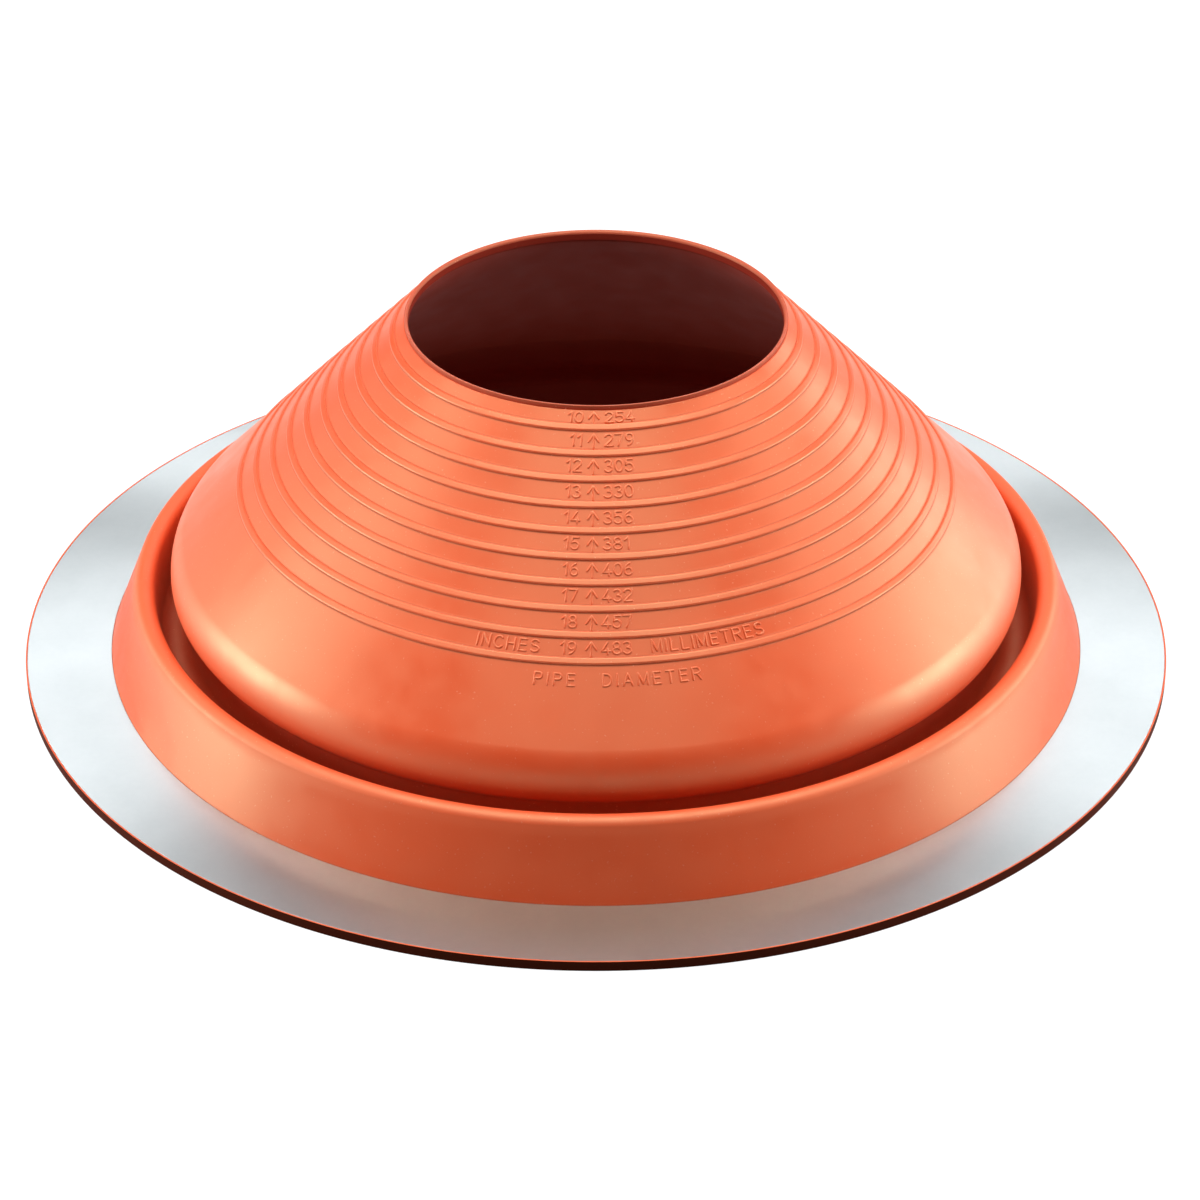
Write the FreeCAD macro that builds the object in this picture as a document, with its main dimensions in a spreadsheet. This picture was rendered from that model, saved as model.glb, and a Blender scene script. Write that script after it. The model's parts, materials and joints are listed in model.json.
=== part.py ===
import FreeCAD, Part
import math
import os
import Sketcher

# Pipe flashing boot for a roof: a moulded silicone boot of revolution, with an aluminium
# ring let into the top of its flange. Millimetres. The boot stands on z = 0 with its axis
# on +Z, and every section is drawn with the radius along X and the height along Z.
#
# The boot's skin rises from the flange as a collar, rolls over a lip, drops into a pleat,
# swells out again as a shoulder and runs up a straight cone to the rim. The raised beads
# on the cone are the lines that it is cut along for larger pipes.

DIMENSIONS = [
    ("flange_radius", 317.5, "outer radius of the flange, a 25 inch circle"),
    ("pad_thickness", 4.0, "silicone under the ring"),
    ("ring_thickness", 1.5, "aluminium ring"),
    ("ring_edge", 0.3, "chamfer of the ring's edges"),
    ("edge_lip", 0.8, "silicone lip round the outside of the ring"),
    ("wall", 3.5, "thickness of the moulded skin"),
    ("foot_radius", 270.0, "collar where it leaves the ring"),
    ("lip_radius", 250.0, "centre of the collar's rolled lip"),
    ("lip_height", 41.0, "centre of the collar's rolled lip"),
    ("lip_round", 5.6, "outer radius of the lip's section"),
    ("pleat_radius", 234.5, "centre of the pleat's floor"),
    ("pleat_height", 20.0, "centre of the pleat's floor"),
    ("pleat_round", 7.5, "radius of the pleat's floor"),
    ("throat_radius", 230.5, "centre of the hollow fillet under the shoulder"),
    ("throat_height", 43.0, "centre of the hollow fillet under the shoulder"),
    ("throat_round", 3.0, "radius of the hollow fillet under the shoulder"),
    ("shoulder_radius", 235.0, "widest point of the shoulder"),
    ("shoulder_height", 56.3, "height of the widest point"),
    ("curl_round", 11.0, "radius of the shoulder's underside"),
    ("bead_count", 10, "beads on the cone"),
    ("first_bead_radius", 109.4, "skin under the top bead"),
    ("first_bead_height", 191.5, "skin under the top bead"),
    ("bead_step", 9.525, "radius from bead to bead, three quarters of half an inch"),
    ("bead_drop", 9.777, "height from bead to bead"),
    ("bead_round", 2.2, "radius of a bead's section"),
    ("bead_rise", 1.1, "height of a bead above the skin"),
    ("opening_radius", 100.8, "pipe opening"),
    ("rim_round", 1.35, "radius of the rounded rim"),
    ("rim_crease_height", 198.9, "where the rim meets the cone"),
    ("overall_height", 200.6, "top of the rim"),
    ("seal_count", 4, "sealing grooves under the flange"),
    ("seal_radius", 280.0, "middle of the innermost sealing groove"),
    ("seal_step", 9.0, "from groove to groove"),
    ("seal_width", 2.4, "width of a sealing groove"),
    ("seal_depth", 1.0, "depth of a sealing groove"),
]
BASE_HEIGHT = "dims.pad_thickness + dims.ring_thickness"
CONE_SLOPE = "atan(dims.bead_drop / dims.bead_step)"
BEAD_SINK = "(dims.bead_round - dims.bead_rise)"

doc = FreeCAD.newDocument("pipe_flashing_boot")


def make_sheet():
    """Spreadsheet of driving dimensions, one row each: name, value, meaning."""
    table = doc.addObject("Spreadsheet::Sheet", "dims")
    for row, (name, number, meaning) in enumerate(DIMENSIONS, start=1):
        table.set(f"A{row}", name)
        table.set(f"B{row}", str(number))
        table.setAlias(f"B{row}", name)
        table.set(f"C{row}", meaning)
    doc.recompute()
    return table


sheet = make_sheet()


def value(expression):
    """What an expression over the sheet comes to, in millimetres or degrees."""
    result = sheet.evalExpression(expression.replace("dims.", ""))
    return float(getattr(result, "Value", result))


def point(r, z):
    return FreeCAD.Vector(r, z, 0)


# ---- sketches -------------------------------------------------------------------------


def new_body(name):
    body = doc.addObject("PartDesign::Body", name)
    body.Label = name
    return body


def new_sketch(body, name, role):
    """A sketch on one of the body's own origin planes."""
    sketch = body.newObject("Sketcher::SketchObject", name)
    plane = next(item for item in body.Origin.OriginFeatures if item.Role == role)
    sketch.AttachmentSupport = [(plane, "")]
    sketch.MapMode = "FlatFace"
    return sketch


def bind(sketch, constraint, expression):
    """Add a dimension and tie it to the sheet."""
    index = sketch.addConstraint(constraint)
    sketch.setExpression(f"Constraints[{index}]", expression)


def place_point(sketch, geometry, which, r_expression, z_expression):
    """Dimension a point of a sketch from the axis and from the base."""
    origin, origin_point = -1, 1
    for kind, expression in (("DistanceX", r_expression), ("DistanceY", z_expression)):
        if expression:
            number = value(expression)
            distance = Sketcher.Constraint(kind, origin, origin_point, geometry, which, number)
            bind(sketch, distance, expression)


def set_radius(sketch, geometry, expression):
    bind(sketch, Sketcher.Constraint("Radius", geometry, value(expression)), expression)


def draw_circle(sketch, r_expression, z_expression, radius_expression):
    centre = point(value(r_expression), value(z_expression))
    circle = Part.Circle(centre, FreeCAD.Vector(0, 0, 1), value(radius_expression))
    index = sketch.addGeometry(circle, False)
    place_point(sketch, index, 3, r_expression, z_expression)
    set_radius(sketch, index, radius_expression)


def draw_polygon(sketch, corners):
    """A closed polygon from its corners' (r, z) expressions."""
    places = [point(value(r), value(z)) for r, z in corners]
    lines = []
    for start, end in zip(places, places[1:] + places[:1]):
        lines.append(sketch.addGeometry(Part.LineSegment(start, end), False))
    for line, next_line in zip(lines, lines[1:] + lines[:1]):
        sketch.addConstraint(Sketcher.Constraint("Coincident", line, 2, next_line, 1))
    for line, (r_expression, z_expression) in zip(lines, corners):
        place_point(sketch, line, 1, r_expression, z_expression)


# ---- outlines of rounds and tangent runs ----------------------------------------------


class Station:
    """A corner of an outline, sharp or rounded.

    `turn` is the radius of a rounded corner, positive where the outline turns left round
    `centre`, and 0 at a sharp corner. A place or radius without an expression follows from
    the stations beside it. `twin` is a round on the other skin with the same centre.
    """

    def __init__(self, name, centre, turn, expressions, twin=None):
        self.name = name
        self.centre = centre
        self.turn = turn
        self.expressions = expressions
        self.twin = twin


def corner(name, r_expression, z_expression):
    centre = point(value(r_expression), value(z_expression))
    return Station(name, centre, 0.0, (r_expression, z_expression, None))


def bend(name, side, r_expression, z_expression, radius_expression):
    """A round; `side` is +1 where the outline turns left and -1 where it turns right."""
    centre = point(value(r_expression), value(z_expression))
    turn = side * value(radius_expression)
    return Station(name, centre, turn, (r_expression, z_expression, radius_expression))


def twin_bend(outer, radius, radius_expression=None):
    """The inner skin's round under an outer one. The outline walks it the other way."""
    turn = -math.copysign(radius, outer.turn)
    return Station("inner " + outer.name, outer.centre, turn, (None, None, radius_expression), outer)


def run_between(first, second):
    """Ends of the straight run that leaves one station and meets the next tangentially."""
    across = second.centre - first.centre
    offset = max(-1.0, min(1.0, (second.turn - first.turn) / across.Length))
    heading = math.atan2(across.y, across.x) - math.asin(offset)
    normal = point(-math.sin(heading), math.cos(heading))
    return first.centre - normal * first.turn, second.centre - normal * second.turn


def draw_arc(sketch, station, arrive, leave):
    """Arc of a rounded station, from where the outline reaches it to where it leaves."""
    ends = [arrive - station.centre, leave - station.centre]
    angles = [math.atan2(end.y, end.x) for end in ends]
    if station.turn < 0:
        angles.reverse()
    if angles[1] < angles[0]:
        angles[1] += 2 * math.pi
    circle = Part.Circle(station.centre, FreeCAD.Vector(0, 0, 1), abs(station.turn))
    station.index = sketch.addGeometry(Part.ArcOfCircle(circle, *angles), False)
    r_expression, z_expression, radius_expression = station.expressions
    place_point(sketch, station.index, 3, r_expression, z_expression)
    if radius_expression:
        set_radius(sketch, station.index, radius_expression)
    if station.twin:
        same_centre = ("Coincident", station.index, 3, station.twin.index, 3)
        sketch.addConstraint(Sketcher.Constraint(*same_centre))


def join_pieces(sketch, pieces):
    """Join neighbours end to end: tangent where either is an arc, else at a sharp corner."""
    for (index, turn), (next_index, next_turn) in zip(pieces, pieces[1:] + pieces[:1]):
        leaving_end = 1 if turn < 0 else 2
        arriving_end = 2 if next_turn < 0 else 1
        kind = "Tangent" if turn or next_turn else "Coincident"
        ends = (index, leaving_end, next_index, arriving_end)
        sketch.addConstraint(Sketcher.Constraint(kind, *ends))


def draw_outline(sketch, stations):
    """Draw a closed outline through its stations and constrain it.

    Straight runs join the stations, and two rounds that touch have none between them.
    Returns the runs' indexes by the name of the station that each leaves.
    """
    shortest_run = 1e-4
    runs = [run_between(*pair) for pair in zip(stations, stations[1:] + stations[:1])]
    pieces = []
    lines = {}
    for station, (_, arrive), (leave, meet) in zip(stations, runs[-1:] + runs[:-1], runs):
        if station.turn:
            draw_arc(sketch, station, arrive, leave)
            pieces.append((station.index, station.turn))
        if (meet - leave).Length > shortest_run:
            line = sketch.addGeometry(Part.LineSegment(leave, meet), False)
            lines[station.name] = line
            pieces.append((line, 0.0))
    join_pieces(sketch, pieces)
    for station in stations:
        if not station.turn:
            r_expression, z_expression, _ = station.expressions
            place_point(sketch, lines[station.name], 1, r_expression, z_expression)
    return lines


# ---- the silicone boot ----------------------------------------------------------------


def outer_stations():
    """Weather side of the skin, from the foot of the collar up to the rim."""
    foot = corner("foot", "dims.foot_radius", BASE_HEIGHT)
    lip = bend("lip", 1, "dims.lip_radius", "dims.lip_height", "dims.lip_round")
    pleat = bend("pleat", -1, "dims.pleat_radius", "dims.pleat_height", "dims.pleat_round")
    throat = bend("throat", -1, "dims.throat_radius", "dims.throat_height", "dims.throat_round")
    curl_r = "dims.shoulder_radius - dims.curl_round"
    curl = bend("curl", 1, curl_r, "dims.shoulder_height", "dims.curl_round")
    cone = corner("cone", "dims.first_bead_radius", "dims.first_bead_height")

    # The shoulder is the round that touches both its widest point and the cone.
    widest = point(value("dims.shoulder_radius"), value("dims.shoulder_height"))
    outward = cone_normal()
    radius = outward.dot(cone.centre - widest) / (1 - outward.x)
    shoulder_place = (None, "dims.shoulder_height", None)
    shoulder = Station("shoulder", widest - point(radius, 0), radius, shoulder_place)

    crease = corner("crease", "dims.opening_radius + 2 * dims.rim_round", "dims.rim_crease_height")
    rim_r = "dims.opening_radius + dims.rim_round"
    rim = bend("rim", 1, rim_r, "dims.overall_height - dims.rim_round", "dims.rim_round")
    return [foot, lip, pleat, throat, curl, shoulder, cone, crease, rim]


def cone_normal():
    """Unit vector square to the cone's skin, pointing out."""
    slope = math.radians(value(CONE_SLOPE))
    return point(math.sin(slope), math.cos(slope))


def inner_stations(outer):
    """Hollow side of the skin, a wall away, from the bore down to the heel."""
    foot, lip, pleat, throat, curl, shoulder, cone, _, _ = outer
    wall = value("dims.wall")

    # The bore's wall ends where it meets the inner skin of the cone.
    outward = cone_normal()
    skin = cone.centre - outward * wall
    bore_r = value("dims.opening_radius")
    bore_z = skin.y + (skin.x - bore_r) * outward.x / outward.y
    bore_end = Station("bore", point(bore_r, bore_z), 0.0, ("dims.opening_radius", None, None))

    inner_shoulder = twin_bend(shoulder, shoulder.turn - wall)
    sizes = [
        (curl, "dims.curl_round - dims.wall"),
        (throat, "dims.throat_round + dims.wall"),
        (pleat, "dims.pleat_round + dims.wall"),
        (lip, "dims.lip_round - dims.wall"),
    ]
    twins = [twin_bend(station, value(size), size) for station, size in sizes]

    # The heel is where the inner skin of the collar meets the underside.
    start, end = run_between(foot, lip)
    rise = (end - start).normalize()
    skin = foot.centre - point(rise.y, -rise.x) * wall
    heel = Station("heel", point(skin.x - skin.y * rise.x / rise.y, 0), 0.0, (None, "0 mm", None))
    return [bore_end, inner_shoulder, *twins, heel]


def flange_stations():
    """Pad of the flange and the shallow recess that the ring lies in."""
    recess_r = "dims.flange_radius - dims.edge_lip"
    return [
        corner("flange bottom", "dims.flange_radius", "0 mm"),
        corner("flange top", "dims.flange_radius", BASE_HEIGHT),
        corner("recess top", recess_r, BASE_HEIGHT),
        corner("recess floor", recess_r, "dims.pad_thickness"),
        corner("recess end", "dims.foot_radius", "dims.pad_thickness"),
    ]


def make_skin(body):
    """The whole moulding's section, turned once round the axis."""
    sketch = new_sketch(body, "skin_section", "XZ_Plane")
    outer = outer_stations()
    lines = draw_outline(sketch, outer + inner_stations(outer) + flange_stations())
    for outside, inside in (("foot", "inner lip"), ("shoulder", "bore")):
        parallel = Sketcher.Constraint("Parallel", lines[outside], lines[inside])
        sketch.addConstraint(parallel)
    heading = "180 deg - " + CONE_SLOPE
    angle = Sketcher.Constraint("Angle", lines["shoulder"], math.radians(value(heading)))
    bind(sketch, angle, heading)
    revolve(body, "Revolution", "moulded_skin", sketch)


def make_beads(body):
    """Half-round beads: circles sunk in the skin, evenly stepped down the cone."""
    sketch = new_sketch(body, "bead_sections", "XZ_Plane")
    for k in range(int(value("dims.bead_count"))):
        bead_r = f"dims.first_bead_radius + {k} * dims.bead_step"
        bead_z = f"dims.first_bead_height - {k} * dims.bead_drop"
        centre_r = f"{bead_r} - {BEAD_SINK} * sin({CONE_SLOPE})"
        centre_z = f"{bead_z} - {BEAD_SINK} * cos({CONE_SLOPE})"
        draw_circle(sketch, centre_r, centre_z, "dims.bead_round")
    revolve(body, "Revolution", "cutting_beads", sketch)


def make_seals(body):
    """V-shaped grooves under the flange, which grip the sealant on the roof."""
    sketch = new_sketch(body, "seal_sections", "XZ_Plane")
    for k in range(int(value("dims.seal_count"))):
        middle = f"dims.seal_radius + {k} * dims.seal_step"
        corners = [
            (f"{middle} - dims.seal_width / 2", "0 mm"),
            (f"{middle} + dims.seal_width / 2", "0 mm"),
            (middle, "dims.seal_depth"),
        ]
        draw_polygon(sketch, corners)
    revolve(body, "Groove", "sealing_grooves", sketch)


def revolve(body, kind, name, sketch):
    """Turn a sketch's sections once round the axis, adding to the body or cutting it."""
    feature = body.newObject(f"PartDesign::{kind}", name)
    feature.Profile = sketch
    feature.ReferenceAxis = (sketch, ["V_Axis"])
    feature.Angle = 360
    sketch.Visibility = False
    body.Tip = feature


def make_boot():
    body = new_body("silicone_boot")
    make_skin(body)
    make_beads(body)
    make_seals(body)
    return body


# ---- the aluminium ring ---------------------------------------------------------------


def make_ring():
    """A flat annulus blanked from sheet, with its edges broken."""
    body = new_body("aluminium_ring")
    sketch = new_sketch(body, "ring_outline", "XY_Plane")
    sketch.setExpression("AttachmentOffset.Base.z", "dims.pad_thickness")
    for radius in ("dims.flange_radius - dims.edge_lip", "dims.foot_radius"):
        draw_circle(sketch, "0 mm", "0 mm", radius)

    blank = body.newObject("PartDesign::Pad", "blank")
    blank.Profile = sketch
    blank.setExpression("Length", "dims.ring_thickness")
    sketch.Visibility = False
    doc.recompute()

    edges = enumerate(blank.Shape.Edges, start=1)
    circles = [f"Edge{i}" for i, edge in edges if isinstance(edge.Curve, Part.Circle)]
    broken_edges = body.newObject("PartDesign::Chamfer", "broken_edges")
    broken_edges.Base = (blank, circles)
    broken_edges.setExpression("Size", "dims.ring_edge")
    body.Tip = broken_edges
    return body


# ---- build, check and write -----------------------------------------------------------


def check(bodies):
    """Stop if any object failed, or a body is not one valid solid."""
    for item in doc.Objects:
        if "Invalid" in item.State or "Error" in item.State:
            raise RuntimeError(f"{item.Name} failed: {item.State}")
    for body in bodies:
        shape = body.Shape
        if shape.isNull() or not shape.isValid() or len(shape.Solids) != 1:
            raise RuntimeError(f"{body.Label} is not one valid solid")


bodies = [make_boot(), make_ring()]
doc.recompute()
check(bodies)

os.makedirs("parts", exist_ok=True)
for body in bodies:
    body.Shape.exportStep(f"parts/{body.Label}.step")
    box = body.Shape.optimalBoundingBox(False)
    size = f"{box.XLength:.2f} x {box.YLength:.2f} x {box.ZLength:.2f} mm"
    print(f"{body.Label}: {size}, {body.Shape.Volume / 1000:.1f} cm3")
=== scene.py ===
import json
import math
import bpy
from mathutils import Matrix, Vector


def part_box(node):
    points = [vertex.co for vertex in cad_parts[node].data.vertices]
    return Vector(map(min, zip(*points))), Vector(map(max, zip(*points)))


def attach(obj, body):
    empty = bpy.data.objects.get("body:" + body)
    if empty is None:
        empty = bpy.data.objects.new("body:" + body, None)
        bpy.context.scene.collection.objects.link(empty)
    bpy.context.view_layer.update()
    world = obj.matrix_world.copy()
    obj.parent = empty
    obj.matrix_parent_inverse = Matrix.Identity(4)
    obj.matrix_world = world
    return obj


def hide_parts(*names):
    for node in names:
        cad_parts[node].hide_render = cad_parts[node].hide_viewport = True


# Looks of a silicone pipe flashing boot with an aluminium ring on its flange. Metres, in the
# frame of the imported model: the boot stands on z = 0 with its axis on +Z, and its size scale
# faces -Y.
#
# The boot and the ring are turned from sections drawn with the radius first and the height
# second. An outline runs counterclockwise, so the solid is on its left.

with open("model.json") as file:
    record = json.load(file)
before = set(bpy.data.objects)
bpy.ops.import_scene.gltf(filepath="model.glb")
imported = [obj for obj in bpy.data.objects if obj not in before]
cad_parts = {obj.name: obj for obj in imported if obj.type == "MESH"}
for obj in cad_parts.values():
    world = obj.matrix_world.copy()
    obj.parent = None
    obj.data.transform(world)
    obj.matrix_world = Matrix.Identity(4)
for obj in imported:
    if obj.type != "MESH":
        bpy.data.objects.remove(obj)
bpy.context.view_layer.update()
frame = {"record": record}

MM = 0.001

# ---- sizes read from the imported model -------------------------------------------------

boot_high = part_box("silicone_boot")[1]
ring_low, ring_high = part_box("aluminium_ring")
mounts = {mount["name"]: mount for mount in frame["record"]["mounts"]}

FLANGE_RADIUS = boot_high.x
OVERALL_HEIGHT = boot_high.z
RING_RADIUS = ring_high.x
RING_BASE = ring_low.z
RING_TOP = ring_high.z
OPENING_RADIUS = mounts["pipe_opening"]["dims"]["r_mm"] * MM

# ---- sizes of the moulding ------------------------------------------------------------

WALL = 3.5 * MM
FOOT_RADIUS = 270.0 * MM
RECESS_RADIUS = FLANGE_RADIUS - 0.8 * MM

# The shoulder's widest point and the throat under it are 5.3 mm lower than in the CAD solid
# that the moulding replaces, and the shoulder is rounder, which gives its shine the right shape.
LIP_CENTRE = (250.0 * MM, 41.0 * MM)
LIP_ROUND = 5.6 * MM
PLEAT_CENTRE = (234.5 * MM, 20.0 * MM)
PLEAT_ROUND = 7.5 * MM
THROAT_CENTRE = (230.5 * MM, 37.7 * MM)
THROAT_ROUND = 3.0 * MM
SHOULDER_RADIUS = 235.0 * MM
SHOULDER_HEIGHT = 51.0 * MM
CURL_ROUND = 11.0 * MM

BEAD_COUNT = 10
FIRST_BEAD = Vector((109.4 * MM, 191.5 * MM))
BEAD_STEP = Vector((9.525 * MM, -9.777 * MM))
BEAD_RISE = 1.1 * MM
BEAD_UPPER_RISE = 0.93 * MM
BEAD_CORNER = 1.0 * MM
BEAD_HALF_TOP = 1.0 * MM
BEAD_FILLET = 0.3 * MM

DOWN_CONE = BEAD_STEP.normalized()
OFF_CONE = Vector((-DOWN_CONE.y, DOWN_CONE.x))

RIM_OUTER_ROUND = 0.3 * MM
RIM_INNER_ROUND = 1.8 * MM
RIM_TOP_RADIUS = OPENING_RADIUS + RIM_INNER_ROUND
NOTCH = Vector((RIM_TOP_RADIUS + 0.1 * MM, OVERALL_HEIGHT - 2.65 * MM))
LEDGE_BEADS_DOWN = -0.645
LEDGE_ROUND = 0.4 * MM

SEAL_COUNT = 4
SEAL_RADIUS = 280.0 * MM
SEAL_STEP = 9.0 * MM
SEAL_WIDTH = 2.4 * MM
SEAL_DEPTH = 1.0 * MM

RING_CHAMFER = 0.3 * MM

# A corner's crease says how deep in a fold it is, from 0 on open skin to 1 in the groove. Up to
# SOFT_CREASE it only makes the skin duller; above that it also darkens the colour, which is painted
# shade in the folds.
SOFT_CREASE = 0.25
EDGE_CREASE = 0.3
BEAD_UPPER_CREASE = 0.75
BEAD_LOWER_CREASE = 0.8
FOOT_CREASE = 0.8
BORE_CREASE = 0.8
FULL_CREASE = 1.0

CREASE_FADE = 0.8 * MM
RIM_FADE = 3.0 * MM
LIP_FADE = 6.0 * MM
PLEAT_FADE = 60.0 * MM

TURNS = 300
ARC_ERROR = 0.02 * MM
COARSEST_ARC = 0.3
SHORTEST_RUN = 0.0001 * MM

# ---- sections -------------------------------------------------------------------------


class Bend:
    """A corner of an outline: sharp, or rounded where `turn` isn't 0.

    `turn` is the radius, positive where the outline turns left round `centre`. `finish` is the
    material of what follows the corner. `crease` fades along the straight runs beside the
    corner within the length `fade`, and on a round that `eases` it goes over into nothing.
    """

    def __init__(self, centre, turn=0.0, finish=0, crease=0.0, fade=CREASE_FADE, eases=False):
        self.centre = Vector(centre)
        self.turn = turn
        self.finish = finish
        self.crease = crease
        self.last_crease = 0.0 if eases else crease
        self.fade = fade


def run_between(first, second):
    """Ends of the straight run that leaves one bend and meets the next tangentially."""
    across = second.centre - first.centre
    offset = max(-1.0, min(1.0, (second.turn - first.turn) / across.length))
    heading = math.atan2(across.y, across.x) - math.asin(offset)
    normal = Vector((-math.sin(heading), math.cos(heading)))
    return first.centre - normal * first.turn, second.centre - normal * second.turn


def arc_points(bend, arrive, leave):
    """Points along a rounded bend, both ends included, close to the true arc."""
    start, end = arrive - bend.centre, leave - bend.centre
    first = math.atan2(start.y, start.x)
    sweep = math.atan2(end.y, end.x) - first
    way = math.copysign(1.0, bend.turn)
    sweep = way * ((way * sweep) % (2 * math.pi))
    radius = abs(bend.turn)
    widest = 2 * math.acos(1 - min(ARC_ERROR / radius, COARSEST_ARC))
    count = max(2, math.ceil(abs(sweep) / widest))
    angles = [first + sweep * i / count for i in range(count + 1)]
    return [bend.centre + radius * Vector((math.cos(a), math.sin(a))) for a in angles]


class Strip:
    """One facet of a section, from `start` on, with the true normals and creases at its ends."""

    def __init__(self, start, normals, bend, creases):
        self.start = start
        self.normals = normals
        self.finish = bend.finish
        self.creases = creases


def arc_strips(bend, arrive, leave):
    """The strips round a rounded bend."""
    points = arc_points(bend, arrive, leave)
    strips = []
    for i, pair in enumerate(zip(points, points[1:])):
        normals = [(point - bend.centre) / bend.turn for point in pair]
        shares = [(i + end) / (len(points) - 1) for end in (0, 1)]
        creases = [bend.crease + (bend.last_crease - bend.crease) * share for share in shares]
        strips.append(Strip(pair[0], normals, bend, creases))
    return strips


def run_strips(bend, after, leave, meet):
    """The strips of a straight run, split where a crease at either end has faded."""
    run = meet - leave
    if run.length <= SHORTEST_RUN:
        return []
    onward = run.normalized()
    stops = [(leave, bend.last_crease), (meet, after.crease)]
    if run.length > bend.fade + after.fade:
        if after.crease:
            stops.insert(1, (meet - onward * after.fade, 0.0))
        if bend.last_crease:
            stops.insert(1, (leave + onward * bend.fade, 0.0))
    normal = Vector((onward.y, -onward.x))
    return [Strip(start, [normal, normal], bend, (crease, next_crease))
            for (start, crease), (_, next_crease) in zip(stops, stops[1:])]


def section(bends):
    """The strips of a closed outline through its bends, in order."""
    runs = [run_between(*pair) for pair in zip(bends, bends[1:] + bends[:1])]
    strips = []
    for i, bend in enumerate(bends):
        arrive = runs[i - 1][1]
        leave, meet = runs[i]
        if bend.turn:
            strips += arc_strips(bend, arrive, leave)
        strips += run_strips(bend, bends[(i + 1) % len(bends)], leave, meet)
    return strips


def turned_mesh(name, strips):
    """A mesh of revolution with exact normals and a crease value at every vertex."""
    mesh = bpy.data.meshes.new(name)
    count = len(strips)
    angles = [2 * math.pi * i / TURNS for i in range(TURNS)]
    ways = [(math.cos(angle), math.sin(angle)) for angle in angles]
    places = []
    creases = []
    for cosine, sine in ways:
        for strip in strips:
            radius, height = strip.start
            places.append((radius * cosine, radius * sine, height))
            creases.append(strip.creases[0])
    faces = []
    normals = []
    finishes = []
    for j in range(TURNS):
        beside = (j + 1) % TURNS
        row, next_row = j * count, beside * count
        for i, strip in enumerate(strips):
            k = (i + 1) % count
            faces.append((row + i, next_row + i, next_row + k, row + k))
            first, last = strip.normals
            for normal, turn in ((first, j), (first, beside), (last, beside), (last, j)):
                cosine, sine = ways[turn]
                normals.append((normal.x * cosine, normal.x * sine, normal.y))
            finishes.append(strip.finish)
    mesh.from_pydata(places, [], faces)
    mesh.polygons.foreach_set("material_index", finishes)
    mesh.shade_smooth()
    mesh.normals_split_custom_set(normals)
    # The crease value dulls the skin, and in the deeper folds the materials darken the colour with
    # it: painted shade.
    layer = mesh.attributes.new("crease", "FLOAT", "POINT")
    layer.data.foreach_set("value", creases)
    mesh.update()
    return mesh


def add_piece(mesh, materials, stands_for=None):
    """Put a finished mesh in the scene as a piece that rides on the one body."""
    piece = bpy.data.objects.new(mesh.name, mesh)
    bpy.context.scene.collection.objects.link(piece)
    for material in materials:
        mesh.materials.append(material)
    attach(piece, "root")
    if stands_for:
        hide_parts(stands_for)


# ---- the boot -------------------------------------------------------------------------

# RIM, INSIDE and BASE carry painted shade: darker, browner copies of the orange silicone on the rim,
# the hollow side, and the underside with the flange's edge.
OUTSIDE, RIM, INSIDE, BASE = range(4)


def cone_point(beads_down, off=0.0, along=0.0):
    """A place on the cone's skin, counted in bead steps from the top bead.

    `off` is a height above the skin, and `along` a distance further down the slope.
    """
    return FIRST_BEAD + BEAD_STEP * beads_down + OFF_CONE * off + DOWN_CONE * along


def bead_side(beads_down, side, rise, crease):
    """Foot and rounded top of one side of a bead: the lower where `side` is 1."""
    sink = rise - BEAD_CORNER
    reach = math.sqrt((BEAD_CORNER + BEAD_FILLET) ** 2 - (BEAD_FILLET - sink) ** 2)
    foot_place = cone_point(beads_down, BEAD_FILLET, side * (BEAD_HALF_TOP + reach))
    foot = Bend(foot_place, -BEAD_FILLET, OUTSIDE, crease)
    top = Bend(cone_point(beads_down, sink, side * BEAD_HALF_TOP), BEAD_CORNER, OUTSIDE)
    return foot, top


def bead_bends():
    """The beads from the lowest to the highest, each a low ridge, highest along its lower edge."""
    bends = []
    for beads_down in reversed(range(BEAD_COUNT)):
        bends += bead_side(beads_down, 1, BEAD_RISE, BEAD_LOWER_CREASE)
        bends += reversed(bead_side(beads_down, -1, BEAD_UPPER_RISE, BEAD_UPPER_CREASE))
    return bends


def shoulder_turn():
    """Radius of the round that touches both the shoulder's widest point and the cone."""
    widest = Vector((SHOULDER_RADIUS, SHOULDER_HEIGHT))
    return OFF_CONE.dot(FIRST_BEAD - widest) / (1 - OFF_CONE.x)


def outer_bends():
    """Weather side of the skin, from the foot of the collar up to the rim's top."""
    turn = shoulder_turn()
    return [
        Bend((FOOT_RADIUS, RING_TOP), 0.0, OUTSIDE, FOOT_CREASE),
        Bend(LIP_CENTRE, LIP_ROUND, OUTSIDE, SOFT_CREASE, LIP_FADE),
        Bend(PLEAT_CENTRE, -PLEAT_ROUND, OUTSIDE, FULL_CREASE, PLEAT_FADE),
        Bend(THROAT_CENTRE, -THROAT_ROUND, OUTSIDE, FULL_CREASE, PLEAT_FADE),
        Bend((SHOULDER_RADIUS - CURL_ROUND, SHOULDER_HEIGHT), CURL_ROUND, OUTSIDE, SOFT_CREASE),
        Bend((SHOULDER_RADIUS - turn, SHOULDER_HEIGHT), turn, OUTSIDE, SOFT_CREASE, eases=True),
        *bead_bends(),
        Bend(cone_point(LEDGE_BEADS_DOWN, -LEDGE_ROUND), LEDGE_ROUND, OUTSIDE),
        Bend(NOTCH, 0.0, RIM, FULL_CREASE, RIM_FADE),
        Bend((RIM_TOP_RADIUS, OVERALL_HEIGHT - RIM_OUTER_ROUND), RIM_OUTER_ROUND, RIM),
        Bend((RIM_TOP_RADIUS, OVERALL_HEIGHT - RIM_INNER_ROUND), RIM_INNER_ROUND, RIM),
    ]


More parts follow.
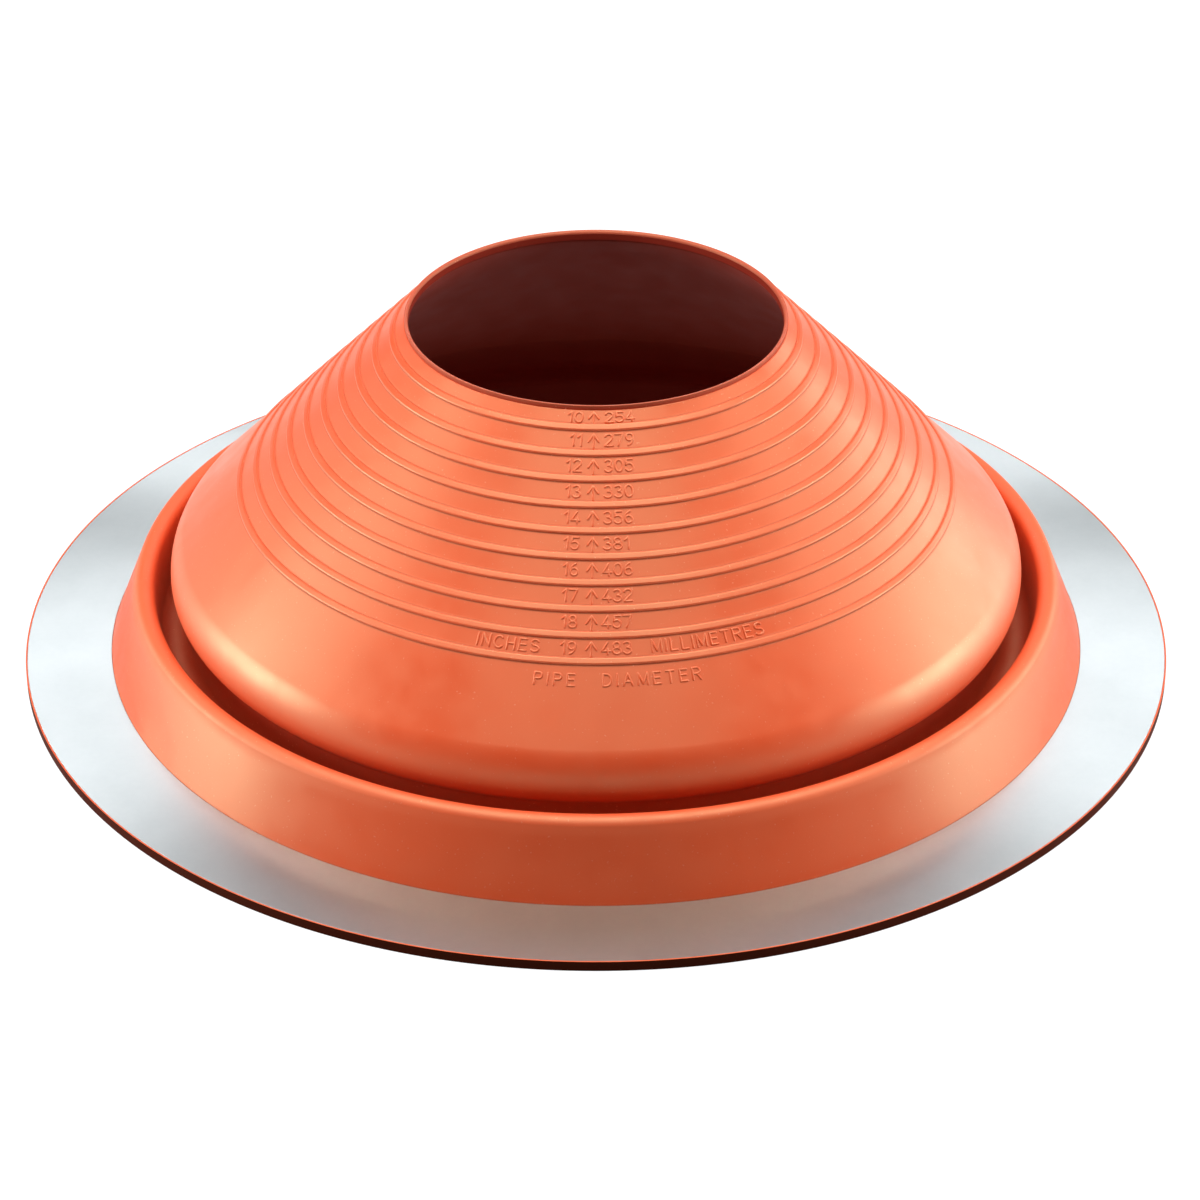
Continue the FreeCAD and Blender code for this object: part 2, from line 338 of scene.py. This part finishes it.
def inner_bends():
    """Hollow side of the skin, a wall away, from the bore down to the heel."""
    skin = FIRST_BEAD - OFF_CONE * WALL
    bore_end = skin.y + (skin.x - OPENING_RADIUS) * OFF_CONE.x / OFF_CONE.y
    turn = shoulder_turn()
    foot = Bend((FOOT_RADIUS, RING_TOP))
    start, end = run_between(foot, Bend(LIP_CENTRE, LIP_ROUND))
    rise = (end - start).normalized()
    heel = foot.centre - Vector((rise.y, -rise.x)) * WALL
    heel_radius = heel.x - heel.y * rise.x / rise.y
    return [
        Bend((OPENING_RADIUS, OVERALL_HEIGHT - RIM_INNER_ROUND), 0.0, INSIDE, BORE_CREASE, RIM_FADE),
        Bend((OPENING_RADIUS, bore_end), 0.0, INSIDE, BORE_CREASE, RIM_FADE),
        Bend((SHOULDER_RADIUS - turn, SHOULDER_HEIGHT), WALL - turn, INSIDE),
        Bend((SHOULDER_RADIUS - CURL_ROUND, SHOULDER_HEIGHT), WALL - CURL_ROUND, INSIDE),
        Bend(THROAT_CENTRE, THROAT_ROUND + WALL, INSIDE),
        Bend(PLEAT_CENTRE, PLEAT_ROUND + WALL, INSIDE),
        Bend(LIP_CENTRE, WALL - LIP_ROUND, INSIDE),
        Bend((heel_radius, 0.0), 0.0, BASE),
    ]


def flange_bends():
    """Underside with its sealing grooves, edge, and the recess that the ring lies in."""
    bends = []
    for k in range(SEAL_COUNT):
        middle = SEAL_RADIUS + k * SEAL_STEP
        bends.append(Bend((middle - SEAL_WIDTH / 2, 0.0), 0.0, BASE))
        bends.append(Bend((middle, SEAL_DEPTH), 0.0, BASE))
        bends.append(Bend((middle + SEAL_WIDTH / 2, 0.0), 0.0, BASE))
    return bends + [
        # The flange's edge takes the base's painted shade.
        Bend((FLANGE_RADIUS, 0.0), 0.0, BASE),
        Bend((FLANGE_RADIUS, RING_TOP), 0.0, OUTSIDE, EDGE_CREASE),
        Bend((RECESS_RADIUS, RING_TOP), 0.0, OUTSIDE, EDGE_CREASE),
        Bend((RECESS_RADIUS, RING_BASE), 0.0, OUTSIDE),
        Bend((FOOT_RADIUS, RING_BASE), 0.0, OUTSIDE),
    ]


def add_boot(materials):
    """The whole moulding, which is one turned piece."""
    mesh = turned_mesh("boot_moulding", section(outer_bends() + inner_bends() + flange_bends()))
    add_piece(mesh, materials, "silicone_boot")


def add_ring(material):
    """The flat ring, with its edges broken by a small chamfer."""
    inner, outer = FOOT_RADIUS, RING_RADIUS
    corners = [
        (inner, RING_BASE + RING_CHAMFER),
        (inner + RING_CHAMFER, RING_BASE),
        (outer - RING_CHAMFER, RING_BASE),
        (outer, RING_BASE + RING_CHAMFER),
        (outer, RING_TOP - RING_CHAMFER),
        (outer - RING_CHAMFER, RING_TOP),
        (inner + RING_CHAMFER, RING_TOP),
        (inner, RING_TOP - RING_CHAMFER),
    ]
    mesh = turned_mesh("flange_ring", section([Bend(corner) for corner in corners]))
    add_piece(mesh, [material], "aluminium_ring")


# ---- the raised size scale ------------------------------------------------------------

GLYPH_HEIGHT = 6.1 * MM
GLYPH_WIDTH = 3.9 * MM
GLYPH_GAP = 1.45 * MM
WORD_GAP = 2.45 * MM
CAPTION_GAP = 3.1 * MM
ROW_LOW = -GLYPH_HEIGHT / 2

STROKE_WIDTH = 1.15 * MM
STROKE_RISE = 0.5 * MM
STROKE_SINK = 0.3 * MM
STROKE_FULLNESS = 0.7
STROKE_ANGLES = (8, 35, 62, 90, 118, 145, 172)
STROKE_STEP = 1.4 * MM
CLOSED_GAP = 0.03 * MM
BOW_STEP = 15
SHARP_ANGLE = math.radians(50)

# How far past a stroke's end its rounded tip reaches, and how wide it still is there, as
# shares of half its width.
TIP_STATIONS = ((0.5, 0.87), (0.87, 0.5), (1.0, 0.08))

ARROW_HALF = 2.6 * MM
ARROW_HEAD = 3.9 * MM
ARROW_TAIL = 1.3 * MM

# Places across the cone, from its middle line. The numbers and arrows drift a little to the
# left from each row to the one below.
FIRST_SIZE = 10
MM_PER_INCH = 25.4
INCH_RIGHT = -6.8 * MM
INCH_DRIFT = 0.4 * MM
ARROW_PLACE = -1.1 * MM
ARROW_DRIFT = 0.15 * MM
MM_LEFT = 4.8 * MM
MM_DRIFT = 0.2 * MM
INCHES_LEFT = -61.0 * MM
MILLIMETRES_LEFT = 28.5 * MM
PIPE_LEFT = -31.3 * MM
DIAMETER_LEFT = 3.6 * MM

# The top row is squeezed in between the rim and the first bead.
TOP_ROW_RISE = 5.3 * MM
TOP_ROW_SHARE = 0.85
CAPTION_DROP = 9.7 * MM


def line(*points):
    """A stroke per straight side of a path, so that every corner is a rounded one."""
    return [list(pair) for pair in zip(points, points[1:])]


def bow(x, y, wide, high, start, end):
    """One curved stroke: part of an ellipse, between two angles in degrees."""
    count = max(4, math.ceil(abs(end - start) / BOW_STEP))
    angles = [math.radians(start + (end - start) * i / count) for i in range(count + 1)]
    return [[(x + wide * math.cos(angle), y + high * math.sin(angle)) for angle in angles]]


# Strokes of each sign on a cell one unit wide and one unit high, and the cell's share of the
# common width.
SIGNS = {
    "0": (1.0, bow(0.5, 0.5, 0.5, 0.5, 0, 360)),
    "1": (0.6, line((0.15, 0.74), (0.85, 1.0), (0.85, 0.0))),
    "2": (1.0, bow(0.5, 0.72, 0.46, 0.28, 165, -38) + line((0.86, 0.55), (0.0, 0.0), (1.0, 0.0))),
    "3": (1.0, bow(0.47, 0.76, 0.4, 0.24, 150, -90) + bow(0.47, 0.26, 0.5, 0.26, 90, -155)),
    "4": (1.05, line((0.68, 1.0), (0.0, 0.25), (1.0, 0.25)) + line((0.7, 0.45), (0.7, 0.0))),
    "5": (1.0, line((0.95, 1.0), (0.15, 1.0), (0.08, 0.55)) + bow(0.46, 0.32, 0.5, 0.32, 135, -150)),
    "6": (1.0, bow(0.5, 0.3, 0.46, 0.3, 0, 360) + bow(0.85, 0.33, 0.81, 0.67, 180, 98)),
    "7": (1.0, line((0.0, 1.0), (1.0, 1.0), (0.35, 0.0))),
    "8": (1.0, bow(0.5, 0.76, 0.4, 0.24, 0, 360) + bow(0.5, 0.26, 0.5, 0.26, 0, 360)),
    "9": (1.0, bow(0.5, 0.7, 0.46, 0.3, 0, 360) + bow(0.15, 0.67, 0.81, 0.67, 0, -82)),
    "A": (1.15, line((0.0, 0.0), (0.5, 1.0), (1.0, 0.0)) + line((0.17, 0.33), (0.83, 0.33))),
    "C": (1.1, bow(0.55, 0.5, 0.55, 0.5, 45, 315)),
    "D": (1.05, line((0.0, 0.0), (0.0, 1.0), (0.4, 1.0)) + bow(0.4, 0.5, 0.6, 0.5, 90, -90)
          + line((0.4, 0.0), (0.0, 0.0))),
    "E": (0.9, line((1.0, 1.0), (0.0, 1.0), (0.0, 0.0), (1.0, 0.0)) + line((0.0, 0.52), (0.9, 0.52))),
    "H": (1.0, line((0.0, 0.0), (0.0, 1.0)) + line((1.0, 0.0), (1.0, 1.0))
          + line((0.0, 0.5), (1.0, 0.5))),
    "I": (0.0, line((0.0, 0.0), (0.0, 1.0))),
    "L": (0.85, line((0.0, 1.0), (0.0, 0.0), (1.0, 0.0))),
    "M": (1.2, line((0.0, 0.0), (0.0, 1.0), (0.5, 0.1), (1.0, 1.0), (1.0, 0.0))),
    "N": (1.0, line((0.0, 0.0), (0.0, 1.0), (1.0, 0.0), (1.0, 1.0))),
    "P": (0.95, line((0.0, 0.0), (0.0, 1.0), (0.6, 1.0)) + bow(0.6, 0.75, 0.4, 0.25, 90, -90)
          + line((0.6, 0.5), (0.0, 0.5))),
    "R": (1.0, line((0.0, 0.0), (0.0, 1.0), (0.6, 1.0)) + bow(0.6, 0.75, 0.4, 0.25, 90, -90)
          + line((0.0, 0.5), (0.55, 0.5), (1.0, 0.0))),
    "S": (1.05, bow(0.5, 0.75, 0.45, 0.25, 30, 270) + bow(0.5, 0.25, 0.5, 0.25, 90, -150)),
    "T": (1.0, line((0.0, 1.0), (1.0, 1.0)) + line((0.5, 1.0), (0.5, 0.0))),
}


def word_width(word):
    """How wide a word of the common gap is."""
    return sum(SIGNS[sign][0] * GLYPH_WIDTH for sign in word) + GLYPH_GAP * (len(word) - 1)


def word_strokes(word, left, gap=GLYPH_GAP):
    """Strokes of a word that starts at `left`, in metres across and up from the row's middle."""
    placed = []
    for sign in word:
        share, strokes = SIGNS[sign]
        wide = share * GLYPH_WIDTH
        for stroke in strokes:
            placed.append([(left + x * wide, ROW_LOW + y * GLYPH_HEIGHT) for x, y in stroke])
        left += wide + gap
    return placed


def arrow_strokes(middle):
    """An arrow up the cone, whose shaft runs on down towards the bead below."""
    tip = (middle, ROW_LOW + GLYPH_HEIGHT)
    wings = [(middle + side * ARROW_HALF, tip[1] - ARROW_HEAD) for side in (-1, 1)]
    shaft = [(middle, ROW_LOW - ARROW_TAIL), tip]
    return [shaft, [wings[0], tip], [tip, wings[1]]]


def row_strokes(row):
    """A pipe size in inches, its arrow and the size in millimetres; the last row names both."""
    size = FIRST_SIZE + row
    strokes = word_strokes(str(size), INCH_RIGHT - INCH_DRIFT * row - word_width(str(size)))
    strokes += word_strokes(str(round(size * MM_PER_INCH)), MM_LEFT - MM_DRIFT * row)
    strokes += arrow_strokes(ARROW_PLACE - ARROW_DRIFT * row)
    if row == BEAD_COUNT - 1:
        strokes += word_strokes("INCHES", INCHES_LEFT, WORD_GAP)
        strokes += word_strokes("MILLIMETRES", MILLIMETRES_LEFT, WORD_GAP)
    return strokes


def even_path(points):
    """The same path with points no further apart than a step."""
    path = [Vector(points[0])]
    for start, end in zip(points, points[1:]):
        start, end = Vector(start), Vector(end)
        count = max(1, math.ceil((end - start).length / STROKE_STEP))
        path += [start.lerp(end, i / count) for i in range(1, count + 1)]
    return path


def stroke_rings(points):
    """Cross-sections of a raised stroke as (place on the skin, height), and if it's closed."""
    path = even_path(points)
    closed = (path[0] - path[-1]).length < CLOSED_GAP
    if closed:
        path.pop()
    half = STROKE_WIDTH / 2
    stations = []
    for i, place in enumerate(path):
        before = path[i - 1] if closed or i else place
        after = path[(i + 1) % len(path)] if closed or i + 1 < len(path) else place
        stations.append((place, (after - before).normalized(), 1.0))
    if not closed:
        start, heading, _ = stations[0]
        head = [(start - heading * half * out, heading, wide) for out, wide in TIP_STATIONS[::-1]]
        end, heading, _ = stations[-1]
        tail = [(end + heading * half * out, heading, wide) for out, wide in TIP_STATIONS]
        stations = head + stations + tail
    arch = [math.radians(angle) for angle in STROKE_ANGLES]
    top = [(-math.cos(angle), STROKE_RISE * math.sin(angle) ** STROKE_FULLNESS) for angle in arch]
    rings = []
    for place, heading, wide in stations:
        across = Vector((heading.y, -heading.x)) * half * wide
        ring = [(place + across * side, height * wide) for side, height in top]
        rings.append([(place - across, -STROKE_SINK), *ring, (place + across, -STROKE_SINK)])
    return rings, closed


def wrapped(middle, point, height):
    """A place off the cone, for one on a flat row that is rolled round it at `middle`."""
    turn = point.x / middle.x
    spot = middle - DOWN_CONE * point.y + OFF_CONE * height
    return spot.x * math.sin(turn), -spot.x * math.cos(turn), spot.y


def add_strokes(places, faces, middle, strokes):
    """Add a row's strokes, each a closed skin of its own, to the lists of a mesh."""
    for stroke in strokes:
        rings, closed = stroke_rings(stroke)
        first = len(places)
        size = len(rings[0])
        for ring in rings:
            places.extend(wrapped(middle, point, height) for point, height in ring)
        for i in range(len(rings) if closed else len(rings) - 1):
            here = first + i * size
            there = first + ((i + 1) % len(rings)) * size
            for j in range(size):
                k = (j + 1) % size
                faces.append((here + j, here + k, there + k, there + j))
        if not closed:
            last = first + (len(rings) - 1) * size
            faces.append(tuple(reversed(range(first, first + size))))
            faces.append(tuple(range(last, last + size)))


def add_scale(material):
    """All raised signs as one piece, wrapped round the cone between the beads."""
    places = []
    faces = []
    top_row = [[(x, y * TOP_ROW_SHARE) for x, y in stroke] for stroke in row_strokes(0)]
    add_strokes(places, faces, cone_point(0, 0.0, -TOP_ROW_RISE), top_row)
    for row in range(1, BEAD_COUNT):
        add_strokes(places, faces, cone_point(row - 0.5), row_strokes(row))
    caption = word_strokes("PIPE", PIPE_LEFT, CAPTION_GAP)
    caption += word_strokes("DIAMETER", DIAMETER_LEFT, CAPTION_GAP)
    add_strokes(places, faces, cone_point(BEAD_COUNT - 1, 0.0, CAPTION_DROP), caption)

    mesh = bpy.data.meshes.new("size_scale")
    mesh.from_pydata(places, [], faces)
    mesh.shade_smooth()
    mesh.set_sharp_from_angle(angle=SHARP_ANGLE)
    mesh.update()
    add_piece(mesh, [material])


# ---- materials ------------------------------------------------------------------------

ORANGE = (0.84, 0.070, 0.012)
# Painted shade: the orange is darkened towards this in folds, grooves and at the feet of beads.
ORANGE_FOLD_PAINTED_SHADE = (0.45, 0.025, 0.006)
ORANGE_PALE = (0.90, 0.30, 0.18)
# Painted shade: the rim is given a darker, browner copy of the orange silicone, between the orange
# outside and the shaded hollow; the second colour is darker still in its folds.
RIM_PAINTED_SHADE = (0.55, 0.08, 0.038)
RIM_FOLD_PAINTED_SHADE = (0.50, 0.028, 0.008)
# Painted shade: the hollow side is given a dark brown copy of the orange silicone, darker still in
# folds; the pale colour is its dust specks, also in that painted shade.
INSIDE_PAINTED_SHADE = (0.50, 0.055, 0.032)
INSIDE_FOLD_PAINTED_SHADE = (0.25, 0.020, 0.010)
INSIDE_DUST_PAINTED_SHADE = (0.42, 0.08, 0.05)
# Painted shade: the underside and the flange's edge are given a near-black brown copy of the orange
# silicone; the pale colour is their dust specks, also in that painted shade.
BASE_PAINTED_SHADE = (0.085, 0.014, 0.006)
BASE_FOLD_PAINTED_SHADE = (0.05, 0.008, 0.004)
BASE_DUST_PAINTED_SHADE = (0.12, 0.04, 0.03)
ALUMINIUM = (0.65, 0.695, 0.712)
ALUMINIUM_DULL = (0.62, 0.665, 0.682)

SILICONE_IOR = 1.69
SILICONE_SHINE = (0.82, 1.0, 0.57, 1.0)
PATCH_SHADE = 0.93
FOLD_SHADE_SHARE = 0.85
FOLD_DULLNESS = 0.2
SPECK_SHARE = 0.5
WAVE_DEPTH = 0.12 * MM
GRAIN_DEPTH = 0.012 * MM
RING_GRAIN_DEPTH = 0.004 * MM


class Nodes:
    """Short hand for building one material's node tree."""

    def __init__(self, name):
        self.material = bpy.data.materials.new(name)
        self.material.use_nodes = True
        self.tree = self.material.node_tree
        self.shader = self.tree.nodes["Principled BSDF"]
        self.place = self.add("ShaderNodeTexCoord").outputs["Object"]

    def add(self, kind, **settings):
        node = self.tree.nodes.new(kind)
        for name, value in settings.items():
            setattr(node, name, value)
        return node

    def join(self, source, target):
        self.tree.links.new(source, target)

    def noise(self, scale, detail):
        """Noise with features about 1 / scale metres across."""
        node = self.add("ShaderNodeTexNoise")
        node.inputs["Scale"].default_value = scale
        node.inputs["Detail"].default_value = detail
        self.join(self.place, node.inputs["Vector"])
        return node.outputs["Fac"]

    def spread(self, source, low, high, from_low=0.3, from_high=0.7):
        """A value moved from one range to another; noise is mostly between 0.3 and 0.7."""
        node = self.add("ShaderNodeMapRange")
        node.inputs["From Min"].default_value = from_low
        node.inputs["From Max"].default_value = from_high
        node.inputs["To Min"].default_value = low
        node.inputs["To Max"].default_value = high
        self.join(source, node.inputs["Value"])
        return node.outputs["Result"]

    def blend(self, factor, first, second):
        """A colour mixed from two, each a colour or another node's output."""
        node = self.add("ShaderNodeMix", data_type="RGBA")
        for socket, value in zip((node.inputs[6], node.inputs[7]), (first, second)):
            if isinstance(value, tuple):
                socket.default_value = (*value, 1.0)
            else:
                self.join(value, socket)
        self.join(factor, node.inputs[0])
        return node.outputs[2]

    def bump(self, height, distance, below=None):
        node = self.add("ShaderNodeBump")
        node.inputs["Distance"].default_value = distance
        self.join(height, node.inputs["Height"])
        if below:
            self.join(below, node.inputs["Normal"])
        return node.outputs["Normal"]

    def combine(self, operation, first, second):
        node = self.add("ShaderNodeMath", operation=operation)
        self.join(first, node.inputs[0])
        self.join(second, node.inputs[1])
        return node.outputs[0]

    def put(self, socket, value):
        """Set a shader's input: a node's output is joined, anything else is its value."""
        target = self.shader.inputs[socket]
        if isinstance(value, bpy.types.NodeSocket):
            self.join(value, target)
        else:
            target.default_value = value


def silicone(name, colour, fold_shade_colour, pale, roughness, gloss=1.0):
    """Moulded silicone: slightly uneven colour, dusty specks, a fine matt grain, painted shade in
    folds.
    """
    nodes = Nodes(name)
    patches = nodes.spread(nodes.noise(scale=14.0, detail=3.0), 0.0, 1.0)
    mottled = nodes.blend(patches, colour, tuple(PATCH_SHADE * part for part in colour))
    # Painted shade: past SOFT_CREASE the crease value darkens the colour towards the fold colour.
    crease = nodes.add("ShaderNodeAttribute", attribute_name="crease").outputs["Fac"]
    fold_shade_mask = nodes.spread(crease, 0.0, FOLD_SHADE_SHARE, from_low=SOFT_CREASE, from_high=FULL_CREASE)
    fold_shaded = nodes.blend(fold_shade_mask, mottled, fold_shade_colour)
    dust = nodes.noise(scale=900.0, detail=0.0)
    specks = nodes.spread(dust, 0.0, SPECK_SHARE, from_low=0.78, from_high=0.86)
    nodes.put("Base Color", nodes.blend(specks, fold_shaded, pale))
    skin = nodes.spread(nodes.noise(scale=60.0, detail=4.0), roughness - 0.04, roughness + 0.05)
    dull = nodes.spread(crease, 0.0, FOLD_DULLNESS, from_low=0.0, from_high=SOFT_CREASE)
    nodes.put("Roughness", nodes.combine("ADD", skin, dull))
    nodes.put("Specular IOR Level", gloss)
    nodes.put("IOR", SILICONE_IOR)
    nodes.put("Specular Tint", SILICONE_SHINE)
    wave = nodes.bump(nodes.noise(scale=24.0, detail=1.0), WAVE_DEPTH)
    nodes.put("Normal", nodes.bump(nodes.noise(scale=1800.0, detail=2.0), GRAIN_DEPTH, wave))
    return nodes.material


def aluminium():
    """Matt sheet with a fine radial grain, so that its shine turns with the ring."""
    nodes = Nodes("ring_aluminium")
    tone = nodes.spread(nodes.noise(scale=40.0, detail=4.0), 0.0, 1.0)
    nodes.put("Base Color", nodes.blend(tone, ALUMINIUM, ALUMINIUM_DULL))
    nodes.put("Metallic", 0.97)
    nodes.put("Roughness", nodes.spread(nodes.noise(scale=300.0, detail=3.0), 0.47, 0.53))
    nodes.put("Anisotropic", 0.97)
    tangent = nodes.add("ShaderNodeTangent", direction_type="RADIAL", axis="Z")
    nodes.put("Tangent", tangent.outputs["Tangent"])
    nodes.put("Normal", nodes.bump(nodes.noise(scale=2500.0, detail=2.0), RING_GRAIN_DEPTH))
    return nodes.material


# ---- floor, light and camera ----------------------------------------------------------

FLOOR_HALF = 12.0
FLOOR_DROP = 0.2 * MM
FLOOR_GREY = (0.2, 0.2, 0.2, 1.0)
SHADE_GREY = (0.22, 0.22, 0.22, 1.0)
FLOOR_GLOW = 0.91

LIGHT_AIM = Vector((0.0, 0.0, 0.08))
SQUARE_BOX = (0.8, 0.8)
WIDE_BOX = (1.7, 0.8)
UPPER_BOX = (0.8, 0.7)
LOW_BOX = (0.85, 0.7)
OVERHEAD_MIDDLE_Z = 1.95
OVERHEAD_Z = 1.85
OVERHEAD_SIDE = 0.66
OVERHEAD_FRONT = 0.8
UPPER_DISTANCE = 1.45
UPPER_Z = 1.32
LOW_DISTANCE = 1.6
LOW_Z = 0.36
WORLD_STRENGTH = 0.05

CAMERA_DISTANCE = 2.2448
CAMERA_ELEVATION = math.radians(31.77)
CAMERA_AIM = Vector((0.0, 0.0, 0.02136))
CAMERA_LENS = 119.9
CAMERA_SENSOR = 36.0
CAMERA_SHIFT = 0.0033


def floor_white():
    """White to the eye and in reflections, darker in the object's shade, plain grey to light."""
    nodes = Nodes("floor_white")
    nodes.put("Base Color", FLOOR_GREY)
    nodes.put("Roughness", 0.9)
    nodes.put("Specular IOR Level", 0.0)
    rays = nodes.add("ShaderNodeLightPath").outputs
    seen = nodes.combine("MAXIMUM", rays["Is Camera Ray"], rays["Is Glossy Ray"])
    seen = nodes.combine("MAXIMUM", seen, rays["Is Transmission Ray"])
    glow = nodes.add("ShaderNodeEmission")
    glow.inputs["Strength"].default_value = FLOOR_GLOW
    shaded = nodes.add("ShaderNodeBsdfDiffuse")
    shaded.inputs["Color"].default_value = SHADE_GREY
    white = nodes.add("ShaderNodeAddShader")
    nodes.join(glow.outputs[0], white.inputs[0])
    nodes.join(shaded.outputs[0], white.inputs[1])
    mix = nodes.add("ShaderNodeMixShader")
    nodes.join(seen, mix.inputs[0])
    nodes.join(nodes.shader.outputs[0], mix.inputs[1])
    nodes.join(white.outputs[0], mix.inputs[2])
    nodes.join(mix.outputs[0], nodes.tree.nodes["Material Output"].inputs["Surface"])
    return nodes.material


def add_floor():
    mesh = bpy.data.meshes.new("floor")
    corners = [(x * FLOOR_HALF, y * FLOOR_HALF, 0) for x, y in ((-1, -1), (1, -1), (1, 1), (-1, 1))]
    mesh.from_pydata(corners, [], [(0, 1, 2, 3)])
    mesh.materials.append(floor_white())
    floor = bpy.data.objects.new("floor", mesh)
    floor.location.z = -FLOOR_DROP
    bpy.context.scene.collection.objects.link(floor)


def around(degrees, distance, height):
    """A place round the boot: 0 degrees is in front of it and 90 on its right."""
    angle = math.radians(degrees)
    return Vector((distance * math.sin(angle), -distance * math.cos(angle), height))


def add_softbox(name, place, size, radiance):
    """A rectangular lamp; its power follows from how bright its face is."""
    data = bpy.data.lights.new(name, "AREA")
    data.shape = "RECTANGLE"
    data.size, data.size_y = size
    data.energy = radiance * math.pi * size[0] * size[1]
    lamp = bpy.data.objects.new(name, data)
    lamp.location = place
    lamp.rotation_euler = (LIGHT_AIM - place).to_track_quat("-Z", "Y").to_euler()
    bpy.context.scene.collection.objects.link(lamp)


def add_lights():
    """Softboxes above the boot and in two tiers round it: each one's angle and brightness."""
    add_softbox("overhead", around(0, 0.0, OVERHEAD_MIDDLE_Z), SQUARE_BOX, 5.2)
    add_softbox("overhead_left", around(-90, OVERHEAD_SIDE, OVERHEAD_Z), SQUARE_BOX, 5.9)
    add_softbox("overhead_right", around(90, OVERHEAD_SIDE, OVERHEAD_Z), SQUARE_BOX, 5.6)
    add_softbox("overhead_front", around(0, OVERHEAD_FRONT, OVERHEAD_Z), WIDE_BOX, 1.9)
    for side, degrees, radiance in (
        ("left", -90, 2.1),
        ("right", 90, 1.5),
        ("back_left", -150, 1.2),
        ("back_right", 150, 1.6),
    ):
        place = around(degrees, UPPER_DISTANCE, UPPER_Z)
        add_softbox("upper_" + side, place, UPPER_BOX, radiance)
    for side, degrees, radiance in (
        ("left", -90, 8.8),
        ("right", 90, 7.4),
        ("back_left", -120, 0.9),
        ("back_right", 120, 3.4),
        ("back", 180, 2.1),
    ):
        place = around(degrees, LOW_DISTANCE, LOW_Z)
        add_softbox("low_" + side, place, LOW_BOX, radiance)


def add_world():
    world = bpy.data.worlds.new("studio")
    world.use_nodes = True
    background = world.node_tree.nodes["Background"]
    background.inputs["Color"].default_value = (1.0, 1.0, 1.0, 1.0)
    background.inputs["Strength"].default_value = WORLD_STRENGTH
    bpy.context.scene.world = world


def add_camera():
    data = bpy.data.cameras.new("camera")
    data.lens = CAMERA_LENS
    data.sensor_width = CAMERA_SENSOR
    data.shift_x = CAMERA_SHIFT
    camera = bpy.data.objects.new("camera", data)
    back = Vector((0.0, -math.cos(CAMERA_ELEVATION), math.sin(CAMERA_ELEVATION)))
    camera.location = back * CAMERA_DISTANCE
    camera.rotation_euler = (CAMERA_AIM - camera.location).to_track_quat("-Z", "Y").to_euler()
    bpy.context.scene.collection.objects.link(camera)
    bpy.context.scene.camera = camera


# ---- build ----------------------------------------------------------------------------

bpy.context.scene.view_settings.view_transform = "Standard"

outside = silicone("silicone_outside", ORANGE, ORANGE_FOLD_PAINTED_SHADE, ORANGE_PALE, roughness=0.36)
# The rim's silicone is painted shade: a darker, browner copy of the orange.
rim = silicone("silicone_rim_painted_shade", RIM_PAINTED_SHADE, RIM_FOLD_PAINTED_SHADE, ORANGE_PALE, roughness=0.5, gloss=0.4)
# The hollow side's silicone is painted shade: a dark brown copy of the orange.
inside = silicone("silicone_inside_painted_shade", INSIDE_PAINTED_SHADE, INSIDE_FOLD_PAINTED_SHADE, INSIDE_DUST_PAINTED_SHADE, roughness=0.6, gloss=0.04)
# The underside's and flange edge's silicone is painted shade: a near-black copy of the orange.
base = silicone("silicone_base_painted_shade", BASE_PAINTED_SHADE, BASE_FOLD_PAINTED_SHADE, BASE_DUST_PAINTED_SHADE, roughness=0.6, gloss=0.02)

add_boot([outside, rim, inside, base])
add_ring(aluminium())
add_scale(outside)
add_floor()
add_lights()
add_world()
add_camera()
